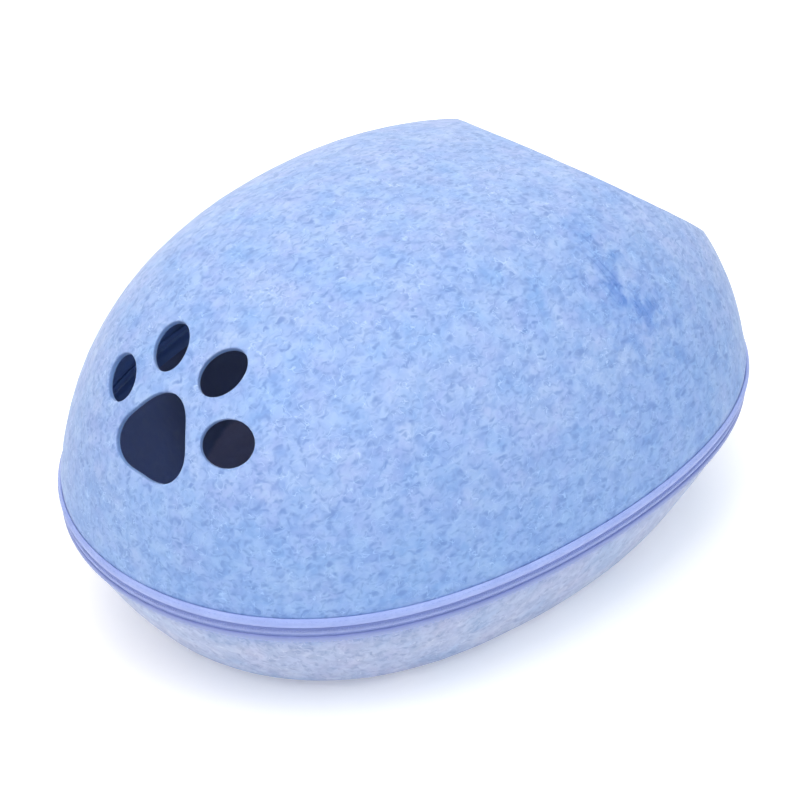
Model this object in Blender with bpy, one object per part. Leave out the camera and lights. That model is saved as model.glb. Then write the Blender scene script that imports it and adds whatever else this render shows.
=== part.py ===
"""An egg-shaped felt cat cave: a moulded dome on a shallow tray.

A zip between two bindings joins them at the rim. The long axis runs along Y. The narrow end with
the paw cut-outs points to +Y, the slanted entrance to -Y. Z = 0 is the flat underside of the tray.
All sizes are in metres.
"""

import math

import bmesh
import bpy
from mathutils import Matrix, Vector

# Felt and overall shape
felt_thickness = 0.004
half_length = 0.250
half_width = 0.181
plan_taper = 0.072  # narrows the +Y end of the plan and widens the other
plan_fullness = 0.172  # squares the plan's two ends
around = 72  # facets round the rim

# Dome
dome_base_z = 0.088  # below this the dome's wall is upright
dome_height = 0.163
dome_lean = 0.118  # moves the highest point towards +Y
dome_fullness = 0.177
side_power = 2.98
crown_power = 1.45
dome_rings = 14

# Entrance: a flat slanted cut across the -Y end of the dome
entrance_tilt = math.radians(51.1)  # of the cut's outward direction above the horizontal
entrance_distance = 0.1889  # from the rim's centre at seam level, along that direction
entrance_middle_y = -0.180
entrance_facets = 64
entrance_plug_inside = 0.050
entrance_plug_outside = 0.150
seam_z = 0.082

# Tray
tray_top_z = 0.0765
tray_base_scale = 0.79  # the flat underside against the rim's plan
tray_centre_y = 0.009
tray_power = 1.15
tray_rings = 9
tray_flat_rings = 2

# Rim, from the dome downwards. Clearances are the gaps that the sewn pieces keep.
clearance = 0.0003
tape_thickness = 0.0012
upper_binding_z = (0.0830, 0.0895)
lower_binding_drop = 0.0055
inner_leg = 0.0050
binding_bulge = 0.0006
zip_tape_z = (0.0768, 0.0827)
zip_tape_depth = 0.0014  # of the tape's face behind the felt's outer face
zip_tape_thickness = 0.0008
coil_z = (0.0780, 0.0810)
coil_proud = 0.0006
coil_facets = 5

# Paw cut-outs. Each row: distance to the side of the middle, height on the dome, length, width,
# and lean of the long axis away from the dome's up direction, towards +X.
toe_columns = ("side", "height", "length", "width", "lean_degrees")
toes = {
    "outer_left": (0.0460, 0.1936, 0.0318, 0.0250, 36.0),
    "inner_left": (0.0226, 0.2164, 0.0343, 0.0238, 24.0),
    "inner_right": (-0.0201, 0.2165, 0.0347, 0.0276, -14.0),
    "outer_right": (-0.0456, 0.1894, 0.0343, 0.0294, -63.0),
}
pad_side = 0.0025
pad_height = 0.1780
pad_radius = 0.0266
pad_corners = 0.107  # how far its three rounded corners stand out, as a share of the radius
pad_lean = math.radians(-4.0)
toe_facets = 28
pad_facets = 42
cutter_reach = 0.012

# How the curved faces are measured and shaded
slope_step = 0.0002
angle_step = 0.001
halvings = 50
crease_angle = math.radians(35)

# Roughness, and colours in linear values
felt_roughness = 0.95
binding_roughness = 0.75
zip_roughness = 0.55
dome_colour = (0.33, 0.47, 0.83, 1.0)
tray_colour = (0.43, 0.51, 0.74, 1.0)
binding_colour = (0.35, 0.45, 0.86, 1.0)
zip_colour = (0.33, 0.42, 0.84, 1.0)


def clear_scene():
    for thing in list(bpy.data.objects):
        bpy.data.objects.remove(thing, do_unlink=True)


def cloth_material(name, colour, roughness):
    material = bpy.data.materials.new(name)
    material.use_nodes = True
    shader = material.node_tree.nodes["Principled BSDF"]
    shader.inputs["Base Color"].default_value = colour
    shader.inputs["Roughness"].default_value = roughness
    shader.inputs["Metallic"].default_value = 0.0
    material.diffuse_color = colour
    return material


def place_mesh(name, mesh, material):
    for face in mesh.faces:
        face.smooth = True
    data = bpy.data.meshes.new(name)
    mesh.to_mesh(data)
    mesh.free()
    data.set_sharp_from_angle(angle=crease_angle)
    data.materials.append(material)
    piece = bpy.data.objects.new(name, data)
    bpy.context.scene.collection.objects.link(piece)
    return piece


# The egg's plan and crown line


def plan_swell(t):
    """How much wider than an ellipse the plan is at a share t of its half length."""
    return 1 - plan_taper * t + plan_fullness * t * t


def plan_half_width(y):
    t = max(-1.0, min(1.0, y / half_length))
    return half_width * math.sqrt(1 - t * t) * plan_swell(t)


def crown_line(y):
    """Height of the dome above its base on the middle line."""
    t = max(-1.0, min(1.0, y / half_length))
    return dome_height * math.sqrt(1 - t * t) * (1 + dome_lean * t + dome_fullness * t * t)


def rim_point(angle):
    t = math.sin(angle)
    return Vector((half_width * math.cos(angle) * plan_swell(t), half_length * t, 0))


def rim_outward(angle):
    along = rim_point(angle + angle_step) - rim_point(angle - angle_step)
    return Vector((along.y, -along.x, 0)).normalized()


def dome_z(x, y):
    """Height of the dome's outer face above its base, zero on and outside the rim."""
    width = plan_half_width(y)
    if width <= abs(x):
        return 0.0
    return crown_line(y) * (1 - (abs(x) / width) ** side_power) ** (1 / crown_power)


def under_dome(point):
    return point.z < dome_base_z + dome_z(point.x, point.y)


def dome_outward(x, y):
    step = slope_step
    rise_x = (dome_z(x + step, y) - dome_z(x - step, y)) / (2 * step)
    rise_y = (dome_z(x, y + step) - dome_z(x, y - step)) / (2 * step)
    return Vector((-rise_x, -rise_y, 1)).normalized()


# Rings of points, and the closed skins over them


def skin_between(mesh, lower, upper):
    for i in range(len(lower)):
        j = (i + 1) % len(lower)
        mesh.faces.new((lower[i], lower[j], upper[j], upper[i]))


def skin_to_point(mesh, ring, point):
    for i in range(len(ring)):
        mesh.faces.new((ring[i], ring[(i + 1) % len(ring)], point))


def add_ring(mesh, points):
    return [mesh.verts.new(point) for point in points]


def rim_angles():
    return [2 * math.pi * i / around for i in range(around)]


def dome_ring(share, depth):
    """Points of the dome at a share of the way from its middle to the rim, sunk below the outer face."""
    points = []
    for angle in rim_angles():
        flat = rim_point(angle) * share
        outward = dome_outward(flat.x, flat.y)
        points.append(Vector((flat.x, flat.y, dome_base_z + dome_z(flat.x, flat.y))) - outward * depth)
    return points


def upright_ring(z, outward_by):
    return [rim_point(a) + rim_outward(a) * outward_by + Vector((0, 0, z)) for a in rim_angles()]


def dome_shell():
    edge_z = upper_binding_z[0] + tape_thickness + clearance
    shares = [math.sin(math.pi / 2 * (dome_rings - i) / dome_rings) for i in range(1, dome_rings)]
    mesh = bmesh.new()
    skins = []
    for depth in (0.0, felt_thickness):
        rings = [add_ring(mesh, upright_ring(z, -depth)) for z in (edge_z, dome_base_z)]
        rings += [add_ring(mesh, dome_ring(share, depth)) for share in shares]
        top = mesh.verts.new((0, 0, dome_base_z + dome_z(0, 0) - depth))
        skins.append((rings, top))
    (outer, outer_top), (inner, inner_top) = skins
    for lower, upper in zip(outer, outer[1:]):
        skin_between(mesh, lower, upper)
    skin_to_point(mesh, outer[-1], outer_top)
    for lower, upper in zip(inner, inner[1:]):
        skin_between(mesh, upper, lower)
    skin_to_point(mesh, list(reversed(inner[-1])), inner_top)
    skin_between(mesh, inner[0], outer[0])
    return mesh


# The tray


def tray_point(angle, depth):
    """Outer face of the tray at a depth below its top, between a rim point and the centre."""
    drop = min(1.0, max(0.0, depth / tray_top_z))
    scale = tray_base_scale + (1 - tray_base_scale) * (1 - drop**tray_power) ** (1 / tray_power)
    centre = Vector((0, tray_centre_y, 0))
    return centre + (rim_point(angle) - centre) * scale + Vector((0, 0, tray_top_z - depth))


def tray_outward(angle, depth):
    along = tray_point(angle + angle_step, depth) - tray_point(angle - angle_step, depth)
    below = min(depth + slope_step, tray_top_z)
    above = max(depth - slope_step, 0)
    down = tray_point(angle, below) - tray_point(angle, above)
    return down.cross(along).normalized()


def tray_shell():
    edge_depth = tape_thickness + clearance
    depths = []
    for i in range(tray_rings + 1):
        turn = math.pi / 2 * i / tray_rings
        depths.append(edge_depth + (tray_top_z - edge_depth) * math.sin(turn) ** (2 / tray_power))
    mesh = bmesh.new()
    outer = [add_ring(mesh, [tray_point(a, depth) for a in rim_angles()]) for depth in depths]
    inner = []
    for depth in depths[:-1]:
        points = []
        for angle in rim_angles():
            point = tray_point(angle, depth) - tray_outward(angle, depth) * felt_thickness
            if depth == edge_depth:
                point.z = tray_top_z - depth
            point.z = max(point.z, felt_thickness)
            points.append(point)
        inner.append(add_ring(mesh, points))
    centre = Vector((0, tray_centre_y, 0))
    flats = []
    for z, rings in ((0.0, outer), (felt_thickness, inner)):
        middle = centre + Vector((0, 0, z))
        last = [Vector((corner.co.x, corner.co.y, z)) for corner in rings[-1]]
        for k in range(1, tray_flat_rings + 1):
            share = k / (tray_flat_rings + 1)
            rings.append(add_ring(mesh, [point.lerp(middle, share) for point in last]))
        flats.append(mesh.verts.new(middle))
    for lower, upper in zip(outer[1:], outer):
        skin_between(mesh, lower, upper)
    skin_to_point(mesh, list(reversed(outer[-1])), flats[0])
    for lower, upper in zip(inner[1:], inner):
        skin_between(mesh, upper, lower)
    skin_to_point(mesh, inner[-1], flats[1])
    skin_between(mesh, outer[0], inner[0])
    return mesh


# Pieces sewn round the rim


def ring_of_section(section):
    """A closed ring from its section: functions of the rim angle, anticlockwise seen along the rim."""
    mesh = bmesh.new()
    loops = [add_ring(mesh, [corner(a) for a in rim_angles()]) for corner in section]
    for lower, upper in zip(loops, loops[1:] + loops[:1]):
        skin_between(mesh, lower, upper)
    return mesh


def by_rim(outward_by, z):
    return lambda angle: rim_point(angle) + rim_outward(angle) * outward_by + Vector((0, 0, z))


def by_tray(outward_by, depth):
    return lambda angle: tray_point(angle, depth) + rim_outward(angle) * outward_by


def upper_binding_section():
    """A tape folded up round the dome's lower edge, a U open upwards."""
    low, high = upper_binding_z
    edge = tape_thickness / 2  # rounding of the tape's edges
    face = clearance + tape_thickness
    back = -felt_thickness - clearance
    return [
        by_rim(back - tape_thickness, low + edge),
        by_rim(back, low),
        by_rim(face - edge, low),
        by_rim(face + binding_bulge / 2, low + tape_thickness),
        by_rim(face + binding_bulge, (low + high) / 2),
        by_rim(face + binding_bulge / 2, high - tape_thickness),
        by_rim(face - edge, high),
        by_rim(clearance, high - edge / 2),
        by_rim(clearance, low + tape_thickness),
        by_rim(back, low + tape_thickness),
        by_rim(back, low + inner_leg),
        by_rim(back - tape_thickness, low + inner_leg),
    ]


def lower_binding_section():
    """The same tape folded down round the tray's upper edge, leaning in with the tray's wall."""
    drop = lower_binding_drop
    edge = tape_thickness / 2
    face = clearance + tape_thickness
    leaning = clearance * 2  # a level distance, which the wall's lean makes narrower across the gap
    back = -felt_thickness - leaning
    return [
        by_tray(back - tape_thickness, inner_leg),
        by_tray(back, inner_leg),
        by_tray(back, tape_thickness),
        by_tray(clearance, tape_thickness),
        by_tray(leaning, drop - edge / 2),
        by_tray(face - edge, drop),
        by_tray(face + binding_bulge / 2, drop - tape_thickness),
        by_tray(face + binding_bulge, drop / 2),
        by_tray(face + binding_bulge / 2, tape_thickness),
        by_tray(face - edge, 0),
        by_tray(back, 0),
        by_tray(back - tape_thickness, edge),
    ]


def zip_section():
    """A closed zip: the tape between the bindings, and the coil, half round, along its middle."""
    low, high = zip_tape_z
    face = -zip_tape_depth
    back = face - zip_tape_thickness
    coil_middle = sum(coil_z) / 2
    coil_half = (coil_z[1] - coil_z[0]) / 2
    coil = []
    for i in range(coil_facets + 1):
        turn = math.pi * i / coil_facets
        proud = face + (coil_proud - face) * math.sin(turn)
        coil.append(by_rim(proud, coil_middle - coil_half * math.cos(turn)))
    return [by_rim(back, low), by_rim(face, low), *coil, by_rim(face, high), by_rim(back, high)]


# Cutters


def furthest(inside):
    """The furthest distance, up to the half length, for which the test inside holds."""
    near, far = 0.0, half_length
    for _ in range(halvings):
        middle = (near + far) / 2
        if inside(middle):
            near = middle
        else:
            far = middle
    return near


def dome_frame(side, height, lean=0.0):
    """Placement on the +Y end of the dome: X across towards -X, Y up the dome, Z outwards."""
    y = furthest(lambda distance: dome_base_z + dome_z(side, distance) > height)
    outward = dome_outward(side, y)
    across = (outward * outward.x - Vector((1, 0, 0))).normalized()
    frame = Matrix((across, outward.cross(across), outward)).transposed().to_4x4()
    frame.translation = Vector((side, y, height))
    return frame @ Matrix.Rotation(lean, 4, "Z")


def toe_outline(length, width):
    turns = [2 * math.pi * i / toe_facets for i in range(toe_facets)]
    return [Vector((width / 2 * math.cos(t), length / 2 * math.sin(t), 0)) for t in turns]


def pad_outline():
    """A rounded triangle with its first corner up the dome."""
    points = []
    for i in range(pad_facets):
        turn = 2 * math.pi * i / pad_facets
        radius = pad_radius * (1 + pad_corners * math.cos(3 * (turn - math.pi / 2)))
        points.append(Vector((math.cos(turn), math.sin(turn), 0)) * radius)
    return points


def cutter(name, frame, outline):
    mesh = bmesh.new()
    lower = add_ring(mesh, [frame @ (p - Vector((0, 0, cutter_reach))) for p in outline])
    upper = add_ring(mesh, [frame @ (p + Vector((0, 0, cutter_reach))) for p in outline])
    skin_between(mesh, lower, upper)
    mesh.faces.new(list(reversed(lower)))
    mesh.faces.new(upper)
    return hidden_piece(name, mesh)


def entrance_frame():
    """The plane of the entrance: X across, Y up the slope, Z outwards."""
    outward = Vector((0, -math.cos(entrance_tilt), math.sin(entrance_tilt)))
    across = Vector((1, 0, 0))
    frame = Matrix((across, outward.cross(across), outward)).transposed().to_4x4()
    middle_z = (entrance_distance - outward.y * entrance_middle_y) / outward.z
    frame.translation = Vector((0, entrance_middle_y, seam_z + middle_z))
    return frame


def entrance_cutter():
    """A plug whose side crosses the felt squarely, along the plane's curve on the outer face."""
    frame = entrance_frame()
    inside, outside = [], []
    for i in range(entrance_facets):
        turn = 2 * math.pi * i / entrance_facets
        way = frame.to_3x3() @ Vector((math.cos(turn), math.sin(turn), 0))
        edge = frame.translation + way * furthest(lambda reach: under_dome(frame.translation + way * reach))
        outward = dome_outward(edge.x, edge.y)
        inside.append(edge - outward * cutter_reach)
        outside.append(edge + outward * cutter_reach)
    mesh = bmesh.new()
    lower = add_ring(mesh, inside)
    upper = add_ring(mesh, outside)
    skin_between(mesh, lower, upper)
    inner_tip = mesh.verts.new(frame @ Vector((0, 0, -entrance_plug_inside)))
    outer_tip = mesh.verts.new(frame @ Vector((0, 0, entrance_plug_outside)))
    skin_to_point(mesh, list(reversed(lower)), inner_tip)
    skin_to_point(mesh, upper, outer_tip)
    return hidden_piece("entrance_cutter", mesh)


def hidden_piece(name, mesh):
    data = bpy.data.meshes.new(name)
    mesh.to_mesh(data)
    mesh.free()
    piece = bpy.data.objects.new(name, data)
    bpy.context.scene.collection.objects.link(piece)
    piece.hide_render = True
    piece.display_type = "WIRE"
    return piece


def cut(piece, tool):
    modifier = piece.modifiers.new(tool.name, "BOOLEAN")
    modifier.operation = "DIFFERENCE"
    modifier.solver = "EXACT"
    modifier.object = tool


def build():
    clear_scene()
    dome_felt = cloth_material("dome_felt", dome_colour, felt_roughness)
    tray_felt = cloth_material("tray_felt", tray_colour, felt_roughness)
    binding_tape = cloth_material("binding_tape", binding_colour, binding_roughness)
    zip_tape = cloth_material("zip_tape", zip_colour, zip_roughness)
    upper_shell = place_mesh("upper_shell", dome_shell(), dome_felt)
    cut(upper_shell, entrance_cutter())
    cut(upper_shell, cutter("paw_pad_cutter", dome_frame(pad_side, pad_height, pad_lean), pad_outline()))
    for name, row in toes.items():
        toe = dict(zip(toe_columns, row))
        frame = dome_frame(toe["side"], toe["height"], math.radians(toe["lean_degrees"]))
        cut(upper_shell, cutter("toe_cutter_" + name, frame, toe_outline(toe["length"], toe["width"])))
    place_mesh("lower_shell", tray_shell(), tray_felt)
    place_mesh("upper_binding", ring_of_section(upper_binding_section()), binding_tape)
    place_mesh("lower_binding", ring_of_section(lower_binding_section()), binding_tape)
    place_mesh("zip_closure", ring_of_section(zip_section()), zip_tape)


build()
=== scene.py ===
import math

import bpy
import numpy as np
from mathutils import Matrix, Vector, noise
from mathutils.geometry import delaunay_2d_cdt
from mathutils.kdtree import KDTree


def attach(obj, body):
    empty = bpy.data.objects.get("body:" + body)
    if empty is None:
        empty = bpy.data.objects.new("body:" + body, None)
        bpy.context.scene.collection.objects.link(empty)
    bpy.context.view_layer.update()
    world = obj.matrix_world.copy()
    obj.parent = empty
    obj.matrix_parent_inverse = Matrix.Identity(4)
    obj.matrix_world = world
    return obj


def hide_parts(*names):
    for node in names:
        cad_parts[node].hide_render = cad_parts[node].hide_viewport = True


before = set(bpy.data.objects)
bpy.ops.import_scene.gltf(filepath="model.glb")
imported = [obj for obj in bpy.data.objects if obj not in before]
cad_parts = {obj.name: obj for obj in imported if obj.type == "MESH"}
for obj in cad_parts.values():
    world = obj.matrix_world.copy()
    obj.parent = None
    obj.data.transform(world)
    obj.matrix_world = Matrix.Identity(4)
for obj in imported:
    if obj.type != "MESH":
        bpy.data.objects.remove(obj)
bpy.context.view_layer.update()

print("frame loaded:", sorted(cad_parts))


# Camera and light

view = {
    "place": (-1.0511, 1.1960, 1.2006),
    "azimuth": 221.443,
    "elevation": 34.911,
    "lens": 133.42,
}


def addCamera():
    turn, rise = math.radians(view["azimuth"]), math.radians(view["elevation"])
    level = math.cos(rise)
    back = Vector((math.sin(turn) * level, -math.cos(turn) * level, math.sin(rise)))
    right = Vector((math.cos(turn), math.sin(turn), 0))
    axes = Matrix((right, back.cross(right), back)).transposed()
    camera = bpy.data.objects.new("camera", bpy.data.cameras.new("camera"))
    bpy.context.scene.collection.objects.link(camera)
    camera.data.lens = view["lens"]
    camera.matrix_world = Matrix.LocRotScale(Vector(view["place"]), axes, None)
    bpy.context.scene.camera = camera


studio = {
    # the sky is white round the horizon and dim above, with a slope between the two edges
    "skyColours": ((1.0, 1.0, 1.0, 1), (0.25, 0.25, 0.25, 1)),
    "skyEdges": (0.09, 0.20),
    # each lamp: where it hangs, its power in watts and its colour; all aim at the dome
    "lamps": {
        "far": ((1.64, -1.64, 1.07), 27.5, (1.0, 0.935, 0.850)),
        "right": ((1.01, 1.01, 2.18), 5.0, (1.0, 0.860, 0.700)),
        "paw": ((0.0, 1.43, 2.18), 27.0, (1.0, 0.955, 0.890)),
        "left": ((-1.43, 0.0, 2.18), 20.8, (0.890, 0.970, 1.0)),
        "top": ((0.0, 0.0, 2.63), 25.0, (1.0, 0.965, 0.890)),
    },
    "lampWidth": 1.6,
    "aim": (0.0, 0.0, 0.13),
}


def addStudio():
    scene = bpy.context.scene
    scene.view_settings.view_transform = "Standard"
    scene.world = bpy.data.worlds.new("studio")
    scene.world.use_nodes = True
    tree = scene.world.node_tree
    height = abs(Signal(tree).node("ShaderNodeTexCoord", {}, {}, "Generated").part(2))
    sky = height.eased(*studio["skyEdges"]).blend(*studio["skyColours"])
    feed(tree.nodes["Background"], "Color", sky)
    for name, (place, watts, colour) in studio["lamps"].items():
        lamp = bpy.data.lights.new(name, "AREA")
        lamp.shape = "SQUARE"
        lamp.size = studio["lampWidth"]
        lamp.energy = watts
        lamp.color = colour
        holder = bpy.data.objects.new(name, lamp)
        holder.location = place
        way = Vector(place) - Vector(studio["aim"])
        holder.rotation_euler = way.to_track_quat("Z", "Y").to_euler()
        scene.collection.objects.link(holder)


# The egg's shape, as the solids have it. Angles run round the rim, 0 at +X.

egg = {
    "felt": 0.004,
    "halfLength": 0.250,
    "halfWidth": 0.181,
    "planTaper": 0.072,
    "planFullness": 0.172,
    "domeBase": 0.088,
    "domeHeight": 0.163,
    "domeLean": 0.118,
    "domeFullness": 0.177,
    "sidePower": 2.98,
    "crownPower": 1.45,
    "domeEdge": 0.0845,
    "trayTop": 0.0765,
    "trayEdgeDepth": 0.0015,
    "trayBaseScale": 0.79,
    "trayCentreY": 0.009,
    "trayPower": 1.15,
}

# how finely the shape is sampled: points that measure the rim, steps that give its ways and the
# dome's slopes, steps of the searches for a place on it, and how near two points count as one
sampling = {"rimPoints": 7201, "turn": 0.001, "slope": 0.00012, "searches": 50, "join": 1e-8}


def planSwell(t):
    return 1 - egg["planTaper"] * t + egg["planFullness"] * t * t


def rimFlat(angle):
    t = np.sin(angle)
    return np.stack([egg["halfWidth"] * np.cos(angle) * planSwell(t), egg["halfLength"] * t], -1)


def rimOutward(angle):
    along = rimFlat(angle + sampling["turn"]) - rimFlat(angle - sampling["turn"])
    along /= np.linalg.norm(along, axis=-1, keepdims=True)
    return np.stack([along[..., 1], -along[..., 0]], -1)


def travelled(points):
    # how far along a row of points each one lies
    return np.concatenate([[0], np.cumsum(np.linalg.norm(np.diff(points, axis=0), axis=1))])


def rimAngles(count):
    # angles that share the rim's length out evenly, and that length
    fine = np.linspace(0, 2 * np.pi, sampling["rimPoints"])
    along = travelled(rimFlat(fine))
    return np.interp(np.arange(count) * along[-1] / count, along, fine), along[-1]


def domeRise(x, y):
    # height of the dome's outer face above its base
    t = np.clip(y / egg["halfLength"], -1, 1)
    root = np.sqrt(1 - t * t)
    crown = egg["domeHeight"] * root * (1 + egg["domeLean"] * t + egg["domeFullness"] * t * t)
    width = egg["halfWidth"] * root * planSwell(t)
    share = np.minimum(np.abs(x) / np.maximum(width, 1e-9), 1)
    return crown * (1 - share ** egg["sidePower"]) ** (1 / egg["crownPower"])


def trayShare(depth):
    # how far out the tray's wall is, as a share of the way to the rim, at a depth under its top
    power = egg["trayPower"]
    rest = np.maximum(1 - np.clip(depth / egg["trayTop"], 0, 1) ** power, 0)
    return egg["trayBaseScale"] + (1 - egg["trayBaseScale"]) * rest ** (1 / power)


def unit(vectors):
    return vectors / np.maximum(np.linalg.norm(vectors, axis=-1, keepdims=True), 1e-12)


def smooth(value, low, high):
    share = np.clip((value - low) / (high - low), 0, 1)
    return share * share * (3 - 2 * share)


def noiseAt(points, scale, shift):
    # soft noise from -1 to 1, with features about 1/scale metres across
    return np.array([noise.noise(Vector(p)) for p in points * scale + shift])


def addMesh(name, points, faces, loopTexture=None):
    mesh = bpy.data.meshes.new(name)
    mesh.from_pydata(points.tolist(), [], faces)
    if loopTexture is not None:
        layer = mesh.uv_layers.new(name="UVMap")
        corners = np.empty(len(mesh.loops), np.int32)
        mesh.loops.foreach_get("vertex_index", corners)
        layer.data.foreach_set("uv", loopTexture(corners).astype(np.float32).ravel())
    mesh.validate()
    mesh.shade_smooth()
    piece = bpy.data.objects.new(name, mesh)
    bpy.context.scene.collection.objects.link(piece)
    return piece


def addShare(piece, name, values):
    layer = piece.data.attributes.new(name, "FLOAT", "POINT")
    layer.data.foreach_set("value", np.asarray(values, np.float32))


def settle(piece, material, slotName, *nodes):
    piece.data.materials.append(material)
    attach(piece, "root")
    if nodes:
        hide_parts(*nodes)
    return piece


def quadsBetween(upper, lower):
    # faces from one closed loop of point numbers down to the next
    return np.stack([upper, np.roll(upper, -1), np.roll(lower, -1), lower], -1)


# Node maths, written as plain expressions


class Signal:
    # a socket in a node tree; sums and products of signals add Math nodes
    def __init__(self, tree, socket=None):
        self.tree = tree
        self.socket = socket

    def node(self, kind, settings, inputs, output=0):
        made = self.tree.nodes.new(kind)
        for name, value in settings.items():
            setattr(made, name, value)
        for name, value in inputs.items():
            if isinstance(value, Signal):
                self.tree.links.new(value.socket, made.inputs[name])
            else:
                made.inputs[name].default_value = value
        return Signal(self.tree, made.outputs[output])

    def maths(self, operation, *values):
        return self.node("ShaderNodeMath", {"operation": operation}, dict(enumerate(values)))

    def __add__(self, other):
        return self.maths("ADD", self, other)

    def __sub__(self, other):
        return self.maths("SUBTRACT", self, other)

    def __rsub__(self, other):
        return self.maths("SUBTRACT", other, self)

    def __mul__(self, other):
        return self.maths("MULTIPLY", self, other)

    def __truediv__(self, other):
        return self.maths("DIVIDE", self, other)

    def __abs__(self):
        return self.maths("ABSOLUTE", self)

    def __pow__(self, other):
        return self.maths("POWER", self, other)

    __radd__ = __add__
    __rmul__ = __mul__

    def eased(self, low, high):
        # 0 at low, 1 at high, smooth between, whichever is the larger
        inputs = {"Value": self, "From Min": low, "From Max": high}
        return self.node("ShaderNodeMapRange", {"interpolation_type": "SMOOTHSTEP"}, inputs)

    def blend(self, first, second, kind="MIX"):
        # this signal is the share of the second colour
        settings = {"data_type": "RGBA", "blend_type": kind}
        return self.node("ShaderNodeMix", settings, {0: self, 6: first, 7: second}, 2)

    def vectors(self, operation, inputs, output=0):
        # output 1 is the number that a length or a dot product gives
        return self.node("ShaderNodeVectorMath", {"operation": operation}, inputs, output)

    def part(self, axis):
        return self.node("ShaderNodeSeparateXYZ", {}, {0: self}, axis)

    def moved(self, *offset):
        return self.vectors("ADD", {0: self, 1: offset})

    def mapped(self, turn, scale):
        inputs = {"Vector": self, "Rotation": turn, "Scale": scale}
        return self.node("ShaderNodeMapping", {}, inputs)

    def attribute(self, name):
        return self.node("ShaderNodeAttribute", {"attribute_name": name}, {}, 2)

    def noise(self, scale, detail=2.0, roughness=0.5, output=0):
        inputs = {"Vector": self, "Scale": scale, "Detail": detail, "Roughness": roughness}
        return self.node("ShaderNodeTexNoise", {}, inputs, output)

    def ribs(self):
        # up to 1 and down to 0 once in every turn of the signal
        return self.maths("SINE", self) * 0.5 + 0.5


def startMaterial(name, sheen=0.0, sheenRoughness=0.5, sheenTint=(1, 1, 1, 1)):
    # the material, its shader, and a signal of places on the object
    material = bpy.data.materials.new(name)
    material.use_nodes = True
    shader = material.node_tree.nodes["Principled BSDF"]
    shader.inputs["Sheen Weight"].default_value = sheen
    shader.inputs["Sheen Roughness"].default_value = sheenRoughness
    shader.inputs["Sheen Tint"].default_value = sheenTint
    place = Signal(material.node_tree).node("ShaderNodeTexCoord", {}, {}, "Object")
    return material, shader, place


def feed(shader, name, signal):
    signal.tree.links.new(signal.socket, shader.inputs[name])


def dress(shader, colour, roughness, height, strength, distance):
    feed(shader, "Base Color", colour)
    feed(shader, "Roughness", roughness)
    inputs = {"Strength": strength, "Distance": distance, "Height": height}
    feed(shader, "Normal", height.node("ShaderNodeBump", {}, inputs))


addCamera()
addStudio()
print("camera and studio set")


# Heather felt: pressed fibres of a few blues, with curly pale hairs and dark specks

feltLook = {
    "sheen": (0.25, 0.45, (1.0, 0.96, 0.94, 1)),
    "warpScale": 190.0,
    "warpReach": 0.0060,
    "broadScale": 32.0,
    "blotchScale": 105.0,
    "tintScale": 48.0,
    "fineScale": 260.0,
    # where each tone sets in as its noise grows
    "baseEdges": (0.36, 0.54),
    "paleEdges": (0.52, 0.68),
    "lilacEdges": (0.50, 0.66),
    "cyanEdges": (0.48, 0.34),
    "tintShare": 0.30,
    # strokes: how many lie across a metre, how much finer each further lay is, how long they are
    # for their width, and how much of the pale ones shows
    "darkScale": 240.0,
    "paleScale": 220.0,
    "strokeStep": 0.12,
    "strokeLength": 2.2,
    "strokeEdge": (0.58, 0.95),
    "paleShare": 0.8,
    # hairs: how many lie across a metre and how wide they are, their core, and where they fade
    "hairs": ((240.0, 0.020), (120.0, 0.011)),
    "hairCore": 0.3,
    "hairEdges": (0.50, 0.60),
    "hairShare": 0.70,
    "relief": (0.22, 0.0008),
    "reliefShares": {"blotch": 0.8, "fine": 0.5, "stroke": 0.4},
    "roughness": 0.94,
    "paleGloss": 0.10,
}

feltShades = {
    "dome_felt": {
        "base": (0.292, 0.421, 0.757, 1),
        "pale": (0.339, 0.478, 0.788, 1),
        "lilac": (0.366, 0.429, 0.762, 1),
        "cyan": (0.230, 0.406, 0.743, 1),
        "deep": (0.233, 0.356, 0.700, 1),
        "dark": (0.166, 0.275, 0.598, 1),
        "hair": (0.425, 0.589, 0.897, 1),
        # the inner face's colours: painted light and shade, set for how the inside is lit
        "insideBase": (0.270, 0.460, 0.860, 1),
        "insidePale": (0.320, 0.510, 0.890, 1),
        "depthShadeEdges": (0.052, 0.022),  # painted shade: the inner side darkens between these, away from the paw, where less light gets in
        "upright": 1.0,
        # the dome takes painted shade low on its sides, and the patches on its shoulder
        "sideShadeAndPatches": True,
    },
    "tray_felt": {
        "base": (0.384, 0.458, 0.676, 1),
        "pale": (0.444, 0.518, 0.722, 1),
        "lilac": (0.448, 0.453, 0.676, 1),
        "cyan": (0.343, 0.458, 0.672, 1),
        "deep": (0.316, 0.389, 0.607, 1),
        "dark": (0.238, 0.305, 0.534, 1),
        "hair": (0.558, 0.620, 0.791, 1),
        # the inner face's colours, much lighter than the outer: painted light, set for how the
        # inside is lit
        "insideBase": (0.570, 0.670, 0.960, 1),
        "insidePale": (0.630, 0.730, 0.980, 1),
        "depthShadeEdges": (0.095, 0.030),
        "upright": 0.6,  # how fast the pattern changes up the wall: it is drawn out there
        "sideShadeAndPatches": False,
    },
}

# darker, bluer patches on the shoulder: the whole side of it, a wide faint one and a small dark
# one, with fine dark lines along them that are painted shade of creases. Each has a centre, a way,
# a length and a width, then how much of it and of its fine creases shows, and its colour
shoulderPatches = (
    ((-0.158, -0.080, 0.145), (-0.2, -0.62, -0.76), 0.15, 0.09, 0.6, 0.0, (0.82, 0.91, 0.97, 1)),
    ((-0.128, -0.058, 0.2), (-0.65, -0.2, -0.73), 0.075, 0.036, 0.85, 0.7, (0.70, 0.82, 0.94, 1)),
    ((-0.140, -0.063, 0.187), (-0.65, -0.23, -0.73), 0.034, 0.014, 0.85, 0.7, (0.6, 0.76, 0.93, 1)),
)

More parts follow.
